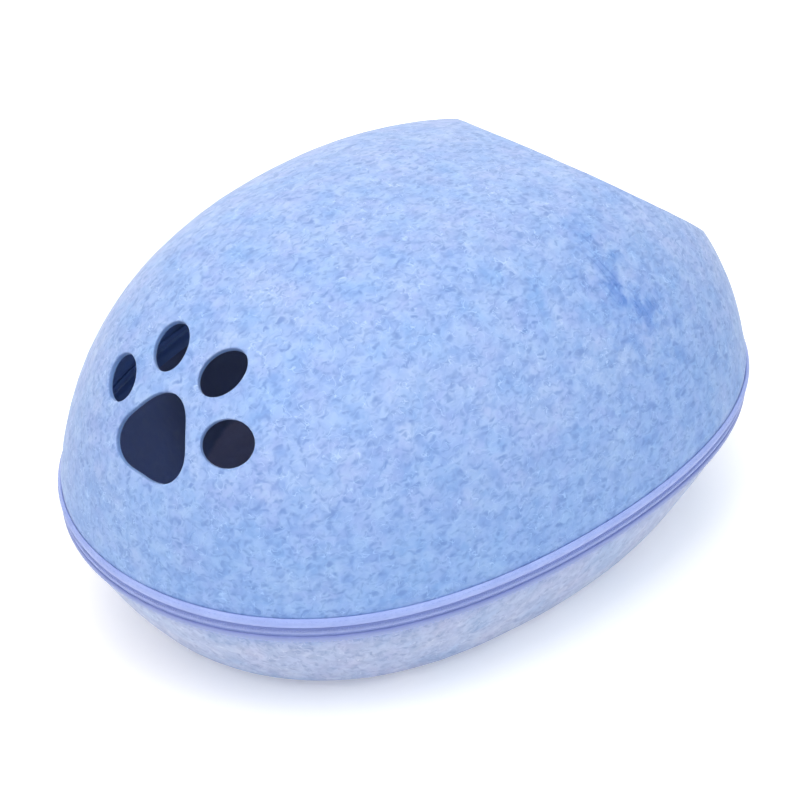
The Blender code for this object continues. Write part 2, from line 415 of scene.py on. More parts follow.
patchLook = {
    "raggedScale": 60.0,
    "raggedShare": 3.4,
    "blotchShare": 0.8,
    "edges": (3.3, 1.5),
    # the painted crease shade: its scale, its stretch along the patch, its widths, where it shows,
    # and its colour
    "creaseScale": 120.0,
    "creaseStretch": 0.88,
    "creaseWidths": (0.045, 0.010),
    "creaseEdges": (0.35, 0.90),
    "creaseShadeColour": (0.62, 0.76, 0.90, 1),
}

# drifts of softer and of denser felt: where they set in, how much of them shows, and what they
# multiply its colour by. The denser one's colour is also used for the painted shade low on the
# dome's sides
drifts = {
    "soft": {"edges": (0.50, 0.32), "share": 0.6, "colour": (1.14, 1.07, 1.0, 1)},
    "vivid": {"edges": (0.50, 0.68), "share": 0.55, "colour": (0.77, 0.91, 0.99, 1)},
}
# painted shade low on the dome's sides: the heights it comes in over, how much of it shows, and how
# much of the denser drift adds to it
lowSideShade = {"edges": (0.200, 0.100), "share": 0.65, "driftShare": 0.25}
# painted shade on the tray close under the rim: the heights it comes in over, and what it
# multiplies the colour by
rimShade = {"edges": (0.058, 0.072), "colour": (0.80, 0.84, 0.96, 1)}

innerLook = {
    "paleEdges": (0.40, 0.70),
    "blotchShare": 0.6,
    "strokeShare": 0.4,
    "bedBase": (0.610, 0.550, 0.660, 1),
    "bedPale": (0.680, 0.620, 0.720, 1),
    # the colour of cut edges: painted shade of the holes' walls, strongest deep in the cut
    "cut": (0.105, 0.210, 0.490, 1),
    "cutShare": 0.85,
    # what the lining is multiplied by deep inside, away from the paw: painted shade
    "depth": (0.46, 0.45, 0.45, 1),
}

# the ways that the pressed fibres lie, as turns in radians
fibreWays = ((0.0, 0.0, 0.2), (0.5, 0.3, 1.1), (0.0, 0.6, 2.0), (1.2, 0.0, 2.7), (0.3, 1.3, 0.6))


def strokes(place, scale, seed):
    # short blunt strokes, lying every way
    squeeze = (1, 1 / feltLook["strokeLength"], 1)
    found = 0.0
    for number, way in enumerate(fibreWays):
        laid = place.moved(seed, 0.4 * seed, 0.07 * number).mapped(way, squeeze)
        stroke = laid.noise(scale * (1 + feltLook["strokeStep"] * number), 0.0)
        found = place.maths("MAXIMUM", found, stroke.eased(*feltLook["strokeEdge"]))
    return found


def hairs(place, curl, scale, width):
    # thin curly lines that come and go
    line = abs(curl.moved(0.9, 0.2, scale * 0.001).noise(scale, 0.0) - 0.5)
    here = place.moved(0.1, scale * 0.002, 0.6).noise(scale * 0.5, 1.0)
    return line.eased(width, width * feltLook["hairCore"]) * here.eased(*feltLook["hairEdges"])


def patchShares(place, blotch, centre, way, length, width, share, creases):
    # how much of the patch shows, and of the painted crease shade that runs along it
    look = patchLook
    offset = place.vectors("SUBTRACT", {0: place, 1: centre})
    reach = offset.vectors("LENGTH", {0: offset}, 1)
    along = offset.vectors("DOT_PRODUCT", {0: offset, 1: way}, 1)
    across = (reach * reach - along * along) / width**2
    ragged = place.noise(look["raggedScale"], 3.0, 0.65) * look["raggedShare"]
    far = (along / length) ** 2 + across + ragged + blotch * look["blotchShare"]
    near = far.eased(*look["edges"])
    back = along.vectors("SCALE", {0: way, "Scale": along * -look["creaseStretch"]})
    flat = offset.vectors("ADD", {0: offset, 1: back})
    creaseShade = abs(flat.noise(look["creaseScale"], 1.0) - 0.5).eased(*look["creaseWidths"])
    return near * share, creaseShade * near.eased(*look["creaseEdges"]) * creases


def feltMaterial(name):
    look, shades, inner = feltLook, feltShades[name], innerLook
    material, shader, place = startMaterial(name, *look["sheen"])
    # curl the pattern, so that no stroke runs straight
    laid = place.mapped((0, 0, 0), (1, 1, shades["upright"]))
    curl = laid.noise(look["warpScale"], 1.0, output=1)
    curl = curl.vectors("MULTIPLY_ADD", {0: curl, 1: (look["warpReach"],) * 3, 2: laid})
    broad = place.noise(look["broadScale"], 2.0, 0.6)
    blotch = curl.noise(look["blotchScale"])
    tint = curl.moved(0.31, 0.17, 0.53).noise(look["tintScale"])
    fine = curl.moved(0.71, 0.37, 0.11).noise(look["fineScale"], 2.0, 0.6)
    # dark strokes: darker fibres, and painted shade of the fine pits that the relief sinks them
    # into
    dark = strokes(curl, look["darkScale"], 0.13)
    pale = strokes(curl, look["paleScale"], 1.61)
    hair = fine.maths("MAXIMUM", *(hairs(place, curl, *row) for row in look["hairs"]))

    colour = blotch.eased(*look["baseEdges"]).blend(shades["deep"], shades["base"])
    tones = (
        (blotch.eased(*look["paleEdges"]), "pale"),
        (tint.eased(*look["lilacEdges"]) * look["tintShare"], "lilac"),
        (tint.eased(*look["cyanEdges"]) * look["tintShare"], "cyan"),
        (pale * look["paleShare"], "pale"),
        (dark, "dark"),
        (hair * look["hairShare"], "hair"),
    )
    for share, tone in tones:
        colour = share.blend(colour, shades[tone])

    soft, vivid = (broad.eased(*drift["edges"]) * drift["share"] for drift in drifts.values())
    height = place.part(2)
    if shades["sideShadeAndPatches"]:
        # painted shade: low on the dome's sides the colour is darker and bluer; darker, bluer
        # patches lie on the shoulder, with painted crease shade along them
        low = height.eased(*lowSideShade["edges"]) * lowSideShade["share"]
        vivid = vivid.maths("MAXIMUM", vivid, low + vivid * lowSideShade["driftShare"])
    washes = [(soft, drifts["soft"]["colour"]), (vivid, drifts["vivid"]["colour"])]
    if shades["sideShadeAndPatches"]:
        for *patch, patchColour in shoulderPatches:
            near, creaseShade = patchShares(place, blotch, *patch)
            washes += [(near, patchColour), (creaseShade, patchLook["creaseShadeColour"])]
    else:
        # painted shade: the tray is darker close under the rim, where the rim shades it
        washes.append((height.eased(*rimShade["edges"]), rimShade["colour"]))
    for share, wash in washes:
        colour = share.blend(colour, wash, "MULTIPLY")

    # the inner side is plainer, in colours that are painted light and shade for how it is lit
    # inside; the bed of the tray is a warm grey, and cut edges are dark with painted shade
    inside, bed, cut = (place.attribute(kind) for kind in ("inside", "bed", "cut"))
    innerPale = blotch.eased(*inner["paleEdges"]) * inner["blotchShare"]
    innerPale = innerPale + pale * inner["strokeShare"]
    lining = innerPale.blend(shades["insideBase"], shades["insidePale"])
    lining = place.part(1).eased(*shades["depthShadeEdges"]).blend(lining, inner["depth"], "MULTIPLY")
    lining = bed.blend(lining, innerPale.blend(inner["bedBase"], inner["bedPale"]))
    colour = inside.blend(colour, lining)
    colour = (cut * inner["cutShare"]).blend(colour, inner["cut"])

    shares = look["reliefShares"]
    relief = blotch * shares["blotch"] + fine * shares["fine"]
    relief = relief + pale * shares["stroke"] - dark * shares["stroke"]
    dress(shader, colour, look["roughness"] - pale * look["paleGloss"], relief, *look["relief"])
    return material


# Dome: one sheet of felt, triangulated round the paw and the entrance

dome = {
    # the dome is laid out flat as an ellipse with the crown at its middle, the domain
    "domainX": 0.27,
    "domainY": 0.33,
    "wallShare": 0.0115,  # of the domain, for the upright wall under the curve
    "gridStep": 0.0031,
    "rimClear": 0.6,  # how many grid steps stay free at the rim and at the cut loops
    "loopClear": 0.55,
    "rimPoints": 460,
    "edgeRound": 0.0007,
    "edgeSteps": 4,
    "wallSteps": 4,
    "edgeFuzz": (260.0, 0.00012),
    "insideFrom": (0.3, 1.0),  # where in the felt's thickness a cut edge takes the inner colour
    # where in the felt's thickness the painted shade of a cut edge comes in
    "cutFrom": (0.0, 0.5),
    "wave": ((21.0, 0.00045), (85.0, 0.00016)),
    "waveClear": (0.090, 0.108),
    "puff": (0.0950, 0.0035, 0.0007),  # height, spread and size of the roll over the tape's edge
    "puffClear": (0.0895, 0.0925),
}

entrance = {
    "tilt": math.radians(51.1),
    "distance": 0.1889,
    "middleY": -0.180,
    "seamZ": 0.082,
    "points": 300,
}

# each toe: side, height, length, width, lean in degrees towards +X
toes = {
    "outerLeft": (0.0460, 0.1936, 0.0318, 0.0250, 36.0),
    "innerLeft": (0.0226, 0.2164, 0.0343, 0.0238, 24.0),
    "innerRight": (-0.0201, 0.2165, 0.0347, 0.0276, -14.0),
    "outerRight": (-0.0456, 0.1894, 0.0343, 0.0294, -63.0),
}
pad = {"side": 0.0025, "height": 0.1780, "radius": 0.0266, "corners": 0.107, "lean": -4.0}
pawPoints = {"toe": 76, "pad": 128}
pawReach = 0.02  # how far the dome's face may lie from the flat that an outline is drawn on


def domainToDome(domain):
    u, v = domain[..., 0] / dome["domainX"], domain[..., 1] / dome["domainY"]
    rho, angle = np.hypot(u, v), np.arctan2(v, u)
    flat = rimFlat(angle) * np.sin(np.pi / 2 * np.minimum(rho, 1))[..., None]
    drop = np.maximum(rho - 1, 0) / dome["wallShare"] * (egg["domeBase"] - egg["domeEdge"])
    z = egg["domeBase"] + domeRise(flat[..., 0], flat[..., 1]) - drop
    return np.concatenate([flat, z[..., None]], -1)


def domeToDomain(points):
    x, y = points[..., 0], points[..., 1] / egg["halfLength"]
    angle = np.arctan2(y, x / egg["halfWidth"])
    for _ in range(sampling["searches"]):
        width = egg["halfWidth"] * planSwell(np.sin(angle))
        angle = np.arctan2(y, x / width)
    rho = np.arcsin(np.minimum(np.hypot(x / width, y), 1)) * 2 / np.pi
    u, v = rho * np.cos(angle) * dome["domainX"], rho * np.sin(angle) * dome["domainY"]
    return np.stack([u, v], -1)


def domeNormals(domain):
    across, up = np.eye(2) * sampling["slope"]
    alongU = domainToDome(domain + across) - domainToDome(domain - across)
    alongV = domainToDome(domain + up) - domainToDome(domain - up)
    return unit(np.cross(alongU, alongV))


def reachUnder(start, way, near, far):
    # how far each point goes along its way before it leaves the dome, found by halving
    near, far = np.full(len(way), near), np.full(len(way), far)
    for _ in range(sampling["searches"]):
        middle = (near + far) / 2
        point = start + way * middle[:, None]
        under = point[:, 2] < egg["domeBase"] + domeRise(point[:, 0], point[:, 1])
        near, far = np.where(under, middle, near), np.where(under, far, middle)
    return near


def throughDome(side, height, lean, x, y):
    # a flat outline at a place on the dome's +Y end, leant and moved outwards onto the dome
    start, way = np.array([[side, 0.0, height]]), np.array([[0.0, 1.0, 0.0]])
    origin = np.array([side, reachUnder(start, way, 0.0, egg["halfLength"])[0], height])
    outward = domeNormals(domeToDomain(origin))
    across = unit(outward * outward[0] - np.array([1, 0, 0]))
    up = np.cross(outward, across)
    turn = math.radians(lean)
    right = across * math.cos(turn) + up * math.sin(turn)
    flat = origin + x[:, None] * right + y[:, None] * np.cross(outward, right)
    way = np.tile(outward, (len(flat), 1))
    return flat + way * reachUnder(flat, way, -pawReach, pawReach)[:, None]


def fullTurn(count):
    return np.linspace(0, 2 * np.pi, count, endpoint=False)


def toeEdge(side, height, length, width, lean):
    turn = fullTurn(pawPoints["toe"])
    return throughDome(side, height, lean, np.cos(turn) * width / 2, np.sin(turn) * length / 2)


def padEdge():
    turn = fullTurn(pawPoints["pad"])
    radius = pad["radius"] * (1 + pad["corners"] * np.cos(3 * (turn - np.pi / 2)))
    x, y = np.cos(turn) * radius, np.sin(turn) * radius
    return throughDome(pad["side"], pad["height"], pad["lean"], x, y)


def entranceEdge():
    # where the slanted plane meets the dome, from its middle outwards
    outward = np.array([0, -math.cos(entrance["tilt"]), math.sin(entrance["tilt"])])
    rise = (entrance["distance"] - outward[1] * entrance["middleY"]) / outward[2]
    middle = np.array([0, entrance["middleY"], entrance["seamZ"] + rise])
    turn = fullTurn(entrance["points"])[:, None]
    way = np.cos(turn) * np.array([1.0, 0, 0]) + np.sin(turn) * np.cross(outward, [1, 0, 0])
    return middle + way * reachUnder(middle, way, 0.0, egg["halfLength"])[:, None]


def evenLoop(points, count):
    # the same closed loop with its points shared out evenly
    closed = np.vstack([points, points[:1]])
    along = travelled(closed)
    at = np.arange(count) * along[-1] / count
    return np.stack([np.interp(at, along, closed[:, k]) for k in range(3)], -1)


def insideLoop(points, loop):
    # which flat points lie in a closed flat loop
    inside = np.zeros(len(points), bool)
    for (x0, y0), (x1, y1) in zip(loop, np.roll(loop, -1, axis=0)):
        crosses = (y0 > points[:, 1]) != (y1 > points[:, 1])
        if y0 != y1:
            edgeX = (x1 - x0) * (points[:, 1] - y0) / (y1 - y0) + x0
            inside ^= crosses & (points[:, 0] < edgeX)
    return inside


def domeGrid(loops):
    # an even grid of points in the domain, clear of the cut loops
    step = dome["gridStep"]
    rows = np.arange(-dome["domainY"], dome["domainY"], step * math.sqrt(3) / 2)
    spots = []
    for number, v in enumerate(rows):
        u = np.arange(-dome["domainX"], dome["domainX"], step) + (number % 2) * step / 2
        spots.append(np.stack([u, np.full(len(u), v)], -1))
    spots = np.vstack(spots)
    rho = np.hypot(spots[:, 0] / dome["domainX"], spots[:, 1] / dome["domainY"])
    spots = spots[rho < 1 - dome["rimClear"] * step / dome["domainX"]]
    tree = KDTree(sum(map(len, loops)))
    for number, spot in enumerate(np.vstack(loops)):
        tree.insert((*spot, 0), number)
    tree.balance()
    room = dome["loopClear"] * step
    clear = np.array([tree.find((*spot, 0))[2] > room for spot in spots])
    for loop in loops:
        clear &= ~insideLoop(spots, loop)
    return spots[clear]


def domeWave(points):
    # the slight unevenness of pressed felt, fading out towards the taped edge
    total = np.zeros(len(points))
    for scale, height in dome["wave"]:
        total += noiseAt(points, scale, scale) * height
    z = points[:, 2]
    middle, spread, size = dome["puff"]
    puff = size * np.exp(-(((z - middle) / spread) ** 2)) * smooth(z, *dome["puffClear"])
    return total * smooth(z, *dome["waveClear"]) + puff


def triangulate(starts, rings):
    # the domain's points and faces, and the numbers of the points on each loop and ring
    loops, first = [], 0
    for part in [*starts, *rings]:
        loops.append(np.arange(first, first + len(part)))
        first += len(part)
    joins = [pair for loop in loops for pair in zip(loop.tolist(), np.roll(loop, -1).tolist())]
    spots = np.vstack([*starts, *rings, domeGrid(starts)]).tolist()
    found = delaunay_2d_cdt([Vector(spot) for spot in spots], joins, [], 0, sampling["join"])
    domain, faces = np.array(found[0]), np.array(found[2])
    order = {spot: number for number, origins in enumerate(found[3]) for spot in origins}
    centres = domain[faces].mean(axis=1)
    keep = np.ones(len(faces), bool)
    for start in starts:
        keep &= ~insideLoop(centres, start)
    return domain, faces[keep], [np.array([order[spot] for spot in loop]) for loop in loops]


def cutRows():
    # the rows of a cut edge, rounded at both faces: how far out and how far down each lies
    rounding, thickness, steps = dome["edgeRound"], egg["felt"], dome["wallSteps"]
    turns = np.linspace(0, np.pi / 2, dome["edgeSteps"] + 1)[1:]
    rows = [(rounding * (1 - math.sin(t)), rounding * (1 - math.cos(t))) for t in turns]
    deep = [(0, rounding + (thickness - 2 * rounding) * k / steps) for k in range(1, steps)]
    return rows + deep + [(out, thickness - down) for out, down in reversed(rows)]


def buildDome():
    edges = [evenLoop(entranceEdge(), entrance["points"]), evenLoop(padEdge(), pawPoints["pad"])]
    edges += [evenLoop(toeEdge(*toe), pawPoints["toe"]) for toe in toes.values()]
    normals = [domeNormals(domeToDomain(edge)) for edge in edges]
    away = []
    for edge, normal in zip(edges, normals):
        along = unit(np.roll(edge, -1, axis=0) - np.roll(edge, 1, axis=0))
        away.append(-unit(np.cross(normal, along)))
    starts = [domeToDomain(edge + side * dome["edgeRound"]) for edge, side in zip(edges, away)]
    angles, _ = rimAngles(dome["rimPoints"])
    ring = np.stack([np.cos(angles) * dome["domainX"], np.sin(angles) * dome["domainY"]], -1)
    domain, faces, loops = triangulate(starts, [ring, ring * (1 + dome["wallShare"])])
    outer, normal = domainToDome(domain), domeNormals(domain)
    outer = outer + normal * domeWave(outer)[:, None]
    thickness, count = egg["felt"], len(outer)
    points = [outer, outer - normal * thickness]
    inside, cut = [np.zeros(count), np.ones(count)], [np.zeros(2 * count)]
    walls = []
    total = 2 * count
    fuzzScale, fuzzSize = dome["edgeFuzz"]
    for edge, side, up, loop in zip(edges, away, normals, loops):
        edge = edge + up * domeWave(edge)[:, None]
        fuzz = noiseAt(edge, fuzzScale, 4.0) * fuzzSize
        upper = loop
        for out, down in cutRows():
            shift = out + fuzz * math.sin(math.pi * down / thickness)
            points.append(edge + side * shift[:, None] - up * down)
            for shares, limits in ((inside, dome["insideFrom"]), (cut, dome["cutFrom"])):
                shares.append(np.full(len(edge), smooth(down / thickness, *limits)))
            lower = np.arange(total, total + len(edge))
            total += len(edge)
            walls.append(quadsBetween(upper, lower))
            upper = lower
        walls.append(quadsBetween(upper, loop + count))
    rim = loops[-1][::-1]
    walls.append(quadsBetween(rim, rim + count))
    skins = np.vstack([faces, faces[:, ::-1] + count])
    piece = addMesh("dome_shell", np.vstack(points), skins.tolist() + np.vstack(walls).tolist())
    addShare(piece, "inside", np.concatenate(inside))
    addShare(piece, "cut", np.concatenate(cut))
    settle(piece, feltMaterial("dome_felt"), "dome_felt", "upper_shell")
    return piece


domeShell = buildDome()
print("dome felt:", len(domeShell.data.polygons), "faces")


# Floor: plain pale paper on a light table, dimmer under the object

paper = {
    "size": 30.0,
    "glows": ((0.25, 0.25, 0.25, 1), (1.0, 1.0, 1.0, 1)),  # near and far
    "glowEdges": (0.9, 2.4),
    "finish": {
        "Base Color": (0.93, 0.935, 0.945, 1.0),
        "Emission Strength": 1.0,
        "Roughness": 0.9,
        "Specular IOR Level": 0.1,
    },
}


def addFloor():
    corners = np.array([[-0.5, -0.5, 0], [0.5, -0.5, 0], [0.5, 0.5, 0], [-0.5, 0.5, 0]])
    floor = addMesh("floor", corners * paper["size"], [(0, 1, 2, 3)])
    material, shader, place = startMaterial("floor_paper")
    away = place.vectors("LENGTH", {0: place}, 1)
    feed(shader, "Emission Color", away.eased(*paper["glowEdges"]).blend(*paper["glows"]))
    for name, value in paper["finish"].items():
        shader.inputs[name].default_value = value
    floor.data.materials.append(material)


addFloor()
print("floor laid")


# Tray: felt pressed to a shallow bowl with a flat underside

tray = {
    "around": 400,
    "profilePoints": 200,
    "wallRows": 26,
    "filletRows": 9,
    "filletReach": 0.015,
    "floorRows": 24,
    "floorSpread": 0.9,
    "wave": ((23.0, 0.00040), (90.0, 0.00015)),
    "waveClear": (0.006, 0.020),  # below the top, and above the flat underside
    "waveFoot": (0.0, 0.012),
    "floorWave": (31.0, 0.0006),
    "floorClear": (0.016, 0.005),
    # the bed's edge climbs the wall as it leaves the paw: its height, slope, range and softness
    "bedEdge": (0.0158, -0.167, 0.0070, 0.0125),
    "bedBlur": 0.0010,
}


def trayGrid():
    angles, _ = rimAngles(tray["around"])
    centre = np.array([0, egg["trayCentreY"]])
    spokes = rimFlat(angles) - centre
    reach = np.linalg.norm(spokes, axis=1)
    ways = spokes / reach[:, None]
    # the outer face from the top edge to the base's corner
    depth = np.linspace(egg["trayEdgeDepth"], egg["trayTop"], tray["profilePoints"])
    share, height = trayShare(depth), egg["trayTop"] - depth
    t = np.linspace(0, 1, tray["filletRows"] + 2)[1:, None]
    inwards = np.linspace(1, 0, tray["floorRows"] + 1)[1:-1, None] ** tray["floorSpread"]
    rows = []
    for size in reach:
        wall = np.stack([share * size, height], -1)
        along = travelled(wall)
        ends = np.linspace(0, along[-1] - tray["filletReach"], tray["wallRows"] + 1)
        upper = np.stack([np.interp(ends, along, wall[:, k]) for k in range(2)], -1)
        corner = np.array([wall[-1, 0], 0.0])
        inner = corner - np.array([tray["filletReach"], 0])
        fillet = (1 - t) ** 2 * upper[-1] + 2 * t * (1 - t) * corner + t * t * inner
        rows.append(np.vstack([upper, fillet, inner * inwards]))
    rows = np.array(rows).transpose(1, 0, 2)  # row, angle, (reach, height)
    flat = centre + rows[..., :1] * ways
    return np.concatenate([flat, rows[..., 1:]], -1)


def gridNormals(grid):
    around = np.roll(grid, -1, axis=1) - np.roll(grid, 1, axis=1)
    down = np.gradient(grid, axis=0)
    return unit(np.cross(down, around))


def buildTray():
    outer = trayGrid()
    normal = gridNormals(outer)
    rows, around = outer.shape[:2]
    places = outer.reshape(-1, 3)
    wave = sum(noiseAt(places, scale, 7.0) * height for scale, height in tray["wave"])
    fade = smooth(egg["trayTop"] - places[:, 2], *tray["waveClear"])
    fade = fade * smooth(places[:, 2], *tray["waveFoot"])
    outer = outer + normal * (wave * fade).reshape(rows, around, 1)
    inner = outer - normal * egg["felt"]
    inner[0, :, 2] = outer[0, :, 2]
    scale, height = tray["floorWave"]
    lift = (noiseAt(inner.reshape(-1, 3), scale, 3.0).reshape(rows, around) * 0.5 + 0.5) * height
    inner[..., 2] += lift * smooth(inner[..., 2], *tray["floorClear"])
    centres = [[0, egg["trayCentreY"], z] for z in (0.0, egg["felt"] + height / 2)]
    points = np.vstack([outer.reshape(-1, 3), inner.reshape(-1, 3), centres])
    count = rows * around
    number = np.arange(count).reshape(rows, around)
    faces = []
    for upper, lower in zip(number, number[1:]):
        faces += quadsBetween(lower, upper).tolist()
        faces += quadsBetween(upper + count, lower + count).tolist()
    last, after = number[-1].tolist(), np.roll(number[-1], -1).tolist()
    faces += [[a, b, 2 * count] for a, b in zip(after, last)]
    faces += [[a + count, b + count, 2 * count + 1] for a, b in zip(last, after)]
    faces += quadsBetween(number[0], number[0] + count).tolist()
    piece = addMesh("tray_shell", points, faces)
    addShare(piece, "inside", np.concatenate([np.zeros(count), np.ones(count), [0, 1]]))
    middle, slope, *limits = tray["bedEdge"]
    bedTop = np.clip(middle + slope * inner[..., 1], *limits)
    bed = smooth((bedTop - inner[..., 2]).ravel(), -tray["bedBlur"], tray["bedBlur"])
    addShare(piece, "bed", np.concatenate([np.zeros(count), bed, [0, 1]]))
    settle(piece, feltMaterial("tray_felt"), "tray_felt", "lower_shell")
    return piece


trayShell = buildTray()
print("tray felt:", len(trayShell.data.polygons), "faces")


# Binding: a tape folded over each felt edge, a little padded on its outer face

binding = {
    "points": 720,
    "thickness": 0.0012,
    "back": -0.0043,  # the inner leg's face towards the felt
    "front": 0.0003,  # the outer leg's face towards the felt
    "innerEdge": -0.0003,  # behind the zip's face, where only the inside shows
    "innerLeg": 0.0050,
    "outerLegs": {"upper": 0.0072, "lower": 0.0055},
    "upperFold": 0.0823,
    "lowerDrop": 0.0005,  # how far the lower fold sits under the tray's nominal top
    "bend": 0.0013,
    "bulges": {"upper": 0.0011, "lower": 0.0006},
    "bulgeSpan": (0.02, 0.96),  # where on the outer leg the bulge starts, and its length
    "bulgePower": 0.7,
    "hug": 0.00022,  # how far the outer leg's free edge leans to the felt
    "hugEdges": (0.45, 1.0),
    "ripple": (14.0, 0.00007, 0.6),  # scale, size and share outwards of its waver round the rim
    # points on the inner leg, each bend, the outer leg and each rounded end
    "sectionPoints": (4, 5, 9, 6),
    "sheen": (0.35, 0.35, (0.85, 0.88, 1.0, 1)),
    "ribPitch": 0.00055,
    "yarnPitch": 0.000495,
    "fade": (0.0762, 0.0728),
    "relief": (0.35, 0.00018),
}

# each tape's colours; inside is the colour of faces seen only from inside, painted light set for
# how the inside is lit
bindingShades = {
    "upper": {
        "base": (0.325, 0.415, 0.810, 1),
        "pale": (0.375, 0.470, 0.860, 1),
        "shade": (0.260, 0.340, 0.740, 1),
        "inside": (0.270, 0.450, 0.840, 1),
    },
    # the lower tape is the same tape as the upper, painted darker as shade, since it faces down
    "lower": {
        "base": (0.205, 0.255, 0.600, 1),
        "pale": (0.240, 0.295, 0.640, 1),
        "shade": (0.160, 0.210, 0.540, 1),
        "freeEdgeTone": (0.285, 0.355, 0.640, 1),
        "inside": (0.300, 0.470, 0.800, 1),
    },
}


def foldedTape(side):
    # the tape's section as (outward, along) from its fold, anticlockwise, with rounded ends
    half, bend = binding["thickness"] / 2, binding["bend"]
    backX, frontX, low = binding["back"] - half, binding["front"] + half, half + bend
    innerCount, bendCount, outerCount, capCount = binding["sectionPoints"]
    turn = np.linspace(0, np.pi / 2, bendCount)
    innerRise = np.linspace(binding["innerLeg"] - half, low, innerCount)
    outerRise = np.linspace(low, binding["outerLegs"][side] - half, outerCount)
    share = (outerRise - outerRise[0]) / (outerRise[-1] - outerRise[0])
    lean = binding["hug"] * smooth(share, *binding["hugEdges"])
    parts = (
        (np.full(innerCount, backX), innerRise),
        (backX + bend - bend * np.cos(turn[1:]), low - bend * np.sin(turn[1:])),
        ([(backX + frontX) / 2], [half]),
        (frontX - bend + bend * np.sin(turn[:-1]), low - bend * np.cos(turn[:-1])),
        (frontX - lean, outerRise),
    )
    line = np.hstack(parts).T
    along = unit(np.gradient(line, axis=0))
    across = np.stack([along[:, 1], -along[:, 0]], -1)
    start, span = binding["bulgeSpan"]
    padding = np.zeros(len(line))
    swell = np.sin(np.pi * np.clip(share * span + start, 0, 1)) ** binding["bulgePower"]
    padding[-outerCount:] = binding["bulges"][side] * swell
    front = line + across * (half + padding)[:, None]
    back = line - across * half
    cap = np.linspace(0, np.pi, capCount)[1:-1, None]
    endCap = line[-1] + half * (np.cos(cap) * across[-1] + np.sin(cap) * along[-1])
    startCap = line[0] - half * (np.cos(cap) * across[0] + np.sin(cap) * along[0])
    return np.vstack([front, endCap, back[::-1], startCap])


def sweepTape(name, section, place, shift, innerEdge):
    # the section carried round the rim; place turns (outward, along) at each angle into points
    angles, rimLength = rimAngles(binding["points"])
    count, size = len(angles), len(section)
    scale, ripple, outwardShare = binding["ripple"]
    circle = np.stack([np.cos(angles), np.sin(angles), np.zeros(count)], -1)
    ripple = noiseAt(circle, scale, shift) * ripple
    rows = [place(angles, out + ripple * outwardShare, along + ripple) for out, along in section]
    number = np.arange(count * size).reshape(size, count)
    faces = []
    for upper, lower in zip(number, np.roll(number, -1, axis=0)):
        faces += quadsBetween(upper, lower).tolist()
    around = travelled(section)
    across = np.repeat(around, count)
    travel = np.tile(np.arange(count) * rimLength / count, size)
    closing = around[-1] + rimLength / count * 0.1

    def carriedOn(values, whole, further):
        # a face that closes a ring has its first points run on past the ring's end
        wide = (values.max(1) - values.min(1) > 0.5 * whole)[:, None]
        return np.where(wide & (values < 0.5 * whole), values + further, values)

    def loopTexture(corners):
        u = carriedOn(travel[corners].reshape(-1, 4), rimLength, rimLength)
        v = carriedOn(across[corners].reshape(-1, 4), around[-1], closing)
        return np.stack([u.ravel(), v.ravel()], -1)

    piece = addMesh(name, np.concatenate(rows), faces, loopTexture)
    addShare(piece, "inside", np.repeat(section[:, 0] < innerEdge, count))
    return piece


def upperPlace(angles, outward, along):
    flat = rimFlat(angles) + rimOutward(angles) * np.reshape(outward, (-1, 1))
    z = binding["upperFold"] + np.broadcast_to(along, angles.shape)
    return np.concatenate([flat, z[:, None]], -1)


def lowerPlace(angles, outward, along):
    depth = np.broadcast_to(along, angles.shape) + binding["lowerDrop"]
    centre = np.array([0, egg["trayCentreY"]])
    flat = centre + (rimFlat(angles) - centre) * trayShare(depth)[:, None]
    flat = flat + rimOutward(angles) * np.reshape(outward, (-1, 1))
    return np.concatenate([flat, (egg["trayTop"] - depth)[:, None]], -1)


def tapeWays(place):
    # how far along the tape and across it, in metres, from its UV map
    travel = place.node("ShaderNodeUVMap", {}, {})
    return travel.part(0), travel.part(1)


def bindingMaterial(name, shades):
    material, shader, place = startMaterial(name, *binding["sheen"])
    along, across = tapeWays(place)
    ribs = (along * (2 * math.pi / binding["ribPitch"])).ribs()
    yarns = (across * (2 * math.pi / binding["yarnPitch"])).ribs()
    weave = ribs * 0.7 + yarns * 0.3
    drift = place.noise(60.0, 3.0, 0.6)
    worn = place.noise(420.0, 2.0, 0.6)
    colour = drift.eased(0.35, 0.65).blend(shades["base"], shades["pale"])
    # darker between the ribs, painted shade of the weave's grooves, and darker in worn spots
    colour = ((1 - weave) * 0.35 + worn.eased(0.45, 0.70) * 0.2).blend(colour, shades["shade"])
    if "freeEdgeTone" in shades:
        # the lower tape's painted shade lifts towards its free edge, where it meets the tray's felt
        colour = place.part(2).eased(*binding["fade"]).blend(colour, shades["freeEdgeTone"])
    colour = place.attribute("inside").blend(colour, shades["inside"])
    relief = weave * 0.8 + worn * 0.3
    dress(shader, colour, 0.52 + worn * 0.16, relief, *binding["relief"])
    return material


upperSection, lowerSection = (foldedTape(side) for side in ("upper", "lower"))
innerEdge = binding["innerEdge"]
upperTape = sweepTape("upper_binding_tape", upperSection, upperPlace, 3.0, innerEdge)
lowerTape = sweepTape("lower_binding_tape", lowerSection[::-1], lowerPlace, 8.0, innerEdge)
for piece, side in ((upperTape, "upper"), (lowerTape, "lower")):
    material = bindingMaterial(side + "_tape", bindingShades[side])
    settle(piece, material, "binding_tape", side + "_binding")
print("bindings folded")


# Zip: a woven tape sunk between the bindings, and its closed coil

zipTape = {
    "low": 0.0762,
    "high": 0.0820,
    "face": 0.0,
    "thickness": 0.0008,
    "rows": 7,
    "sheen": (0.2, 0.4, (0.8, 0.85, 1.0, 1)),
    "twillPitches": (0.0006, 0.0009),
    "relief": (0.4, 0.00015),
    "base": (0.270, 0.345, 0.720, 1),
    "shade": (0.205, 0.265, 0.610, 1),
    # the band's back, seen only from inside: painted light, lighter to lift the shade in the groove
    # between the tapes
    "inside": (0.400, 0.620, 0.960, 1),
}

